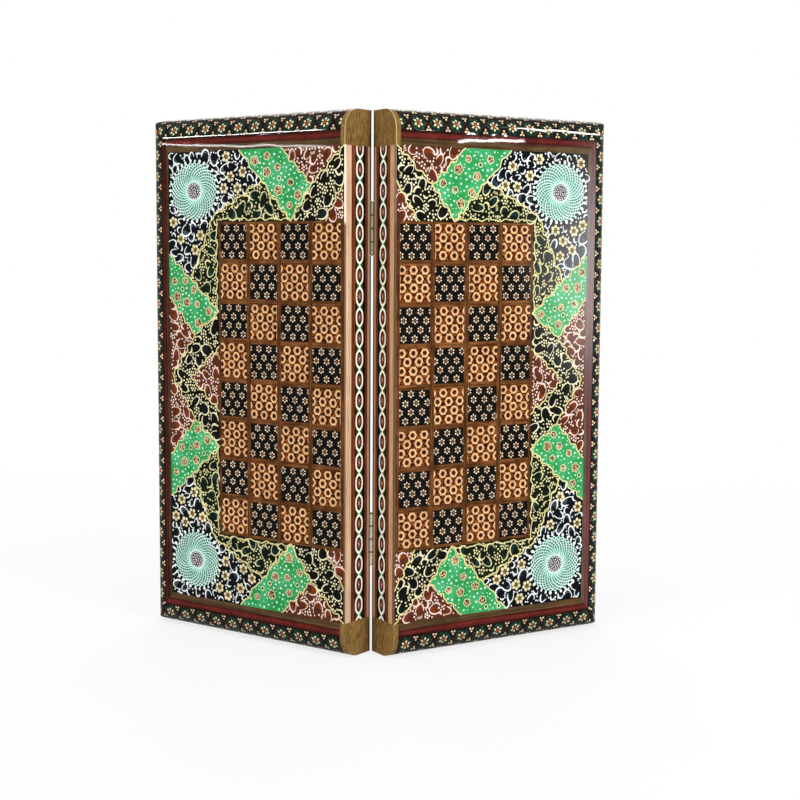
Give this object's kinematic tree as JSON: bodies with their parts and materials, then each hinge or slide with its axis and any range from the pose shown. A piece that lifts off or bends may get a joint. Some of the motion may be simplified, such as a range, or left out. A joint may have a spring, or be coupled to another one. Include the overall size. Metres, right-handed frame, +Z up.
{
  "type": "backgammon board",
  "caption": "Folding wooden backgammon box with marquetry bands, painted panels and a chess board on its back, standing open on butt hinges, with a swing hook latch.",
  "frame": {"origin": "middle of the footprint on the surface that the box stands on", "axes": "+Z up along the hinge axis, -Y towards the spine, +X to the right tray"},
  "size_m": [0.4392, 0.1684, 0.5],
  "materials": {
    "pale_wood": "smooth pale hardwood under clear lacquer",
    "walnut": "walnut with straight grain under clear lacquer",
    "walnut_cap": "olive-brown walnut blocks, lacquered",
    "plywood": "bare panel",
    "khatam": "dark marquetry band with cream and orange stars, lacquered",
    "maroon": "maroon stained inlay line, lacquered",
    "dark_square": "near-black marquetry with small stars, lacquered",
    "light_square": "cream and orange hexagon marquetry, lacquered",
    "painted": "hand-painted panel under thick clear lacquer",
    "chain": "black band with cream links, lacquered",
    "field": "playing field veneer, lacquered",
    "dark_point": "dark inlay, lacquered",
    "light_point": "pale inlay, lacquered",
    "medallion": "round marquetry inlay, lacquered",
    "wall_lining": "thin veneer, lacquered",
    "hinge_steel": "grey zinc-plated steel, slightly worn",
    "latch_brass": "plain brass"
  },
  "bodies": {
    "left_tray": {"left_floor_panel": "plywood", "left_top_wall": "pale_wood", "left_bottom_wall": "pale_wood", "left_outer_wall": "pale_wood", "left_spine_wall": "pale_wood", "left_top_corner_cap": "walnut_cap", "left_bottom_corner_cap": "walnut_cap", "left_chess_lattice": "walnut", "left_dark_squares": "dark_square", "left_light_squares": "light_square", "left_painted_border": "painted", "left_walnut_margin": "walnut", "left_maroon_line": "maroon", "left_top_khatam_band": "khatam", "left_bottom_khatam_band": "khatam", "left_outer_khatam_band": "khatam", "left_spine_stripes": "maroon", "left_spine_chain": "chain", "left_floor_lining": "field", "left_dark_points": "dark_point", "left_light_points": "light_point", "left_medallion": "medallion", "left_wall_lining": "wall_lining", "left_hinge_screws": "hinge_steel", "upper_hinge_left_leaf": "hinge_steel", "lower_hinge_left_leaf": "hinge_steel", "upper_hinge_pin": "hinge_steel", "lower_hinge_pin": "hinge_steel", "latch_pivot_screw": "latch_brass"},
    "right_tray": {"right_floor_panel": "plywood", "right_top_wall": "pale_wood", "right_bottom_wall": "pale_wood", "right_outer_wall": "pale_wood", "right_spine_wall": "pale_wood", "right_top_corner_cap": "walnut_cap", "right_bottom_corner_cap": "walnut_cap", "right_chess_lattice": "walnut", "right_dark_squares": "dark_square", "right_light_squares": "light_square", "right_painted_border": "painted", "right_walnut_margin": "walnut", "right_maroon_line": "maroon", "right_top_khatam_band": "khatam", "right_bottom_khatam_band": "khatam", "right_outer_khatam_band": "khatam", "right_spine_stripes": "maroon", "right_spine_chain": "chain", "right_floor_lining": "field", "right_dark_points": "dark_point", "right_light_points": "light_point", "right_medallion": "medallion", "right_wall_lining": "wall_lining", "right_hinge_screws": "hinge_steel", "upper_hinge_right_leaf": "hinge_steel", "lower_hinge_right_leaf": "hinge_steel", "latch_stud": "latch_brass"},
    "latch_hook": {"latch_hook": "latch_brass"}
  },
  "joints": [
    {"name": "spine_hinge", "type": "hinge", "parent": "left_tray", "child": "right_tray", "pos_m": [0, -0.05213, 0.25], "axis": [0, 0, 1], "range_deg": [-67.4, 112.6]},
    {"name": "latch_swing", "type": "hinge", "parent": "left_tray", "child": "latch_hook", "pos_m": [-0.21214, 0.07613, 0.25], "axis": [0.832, -0.5548, 0], "range_deg": [0, 90]}
  ]
}
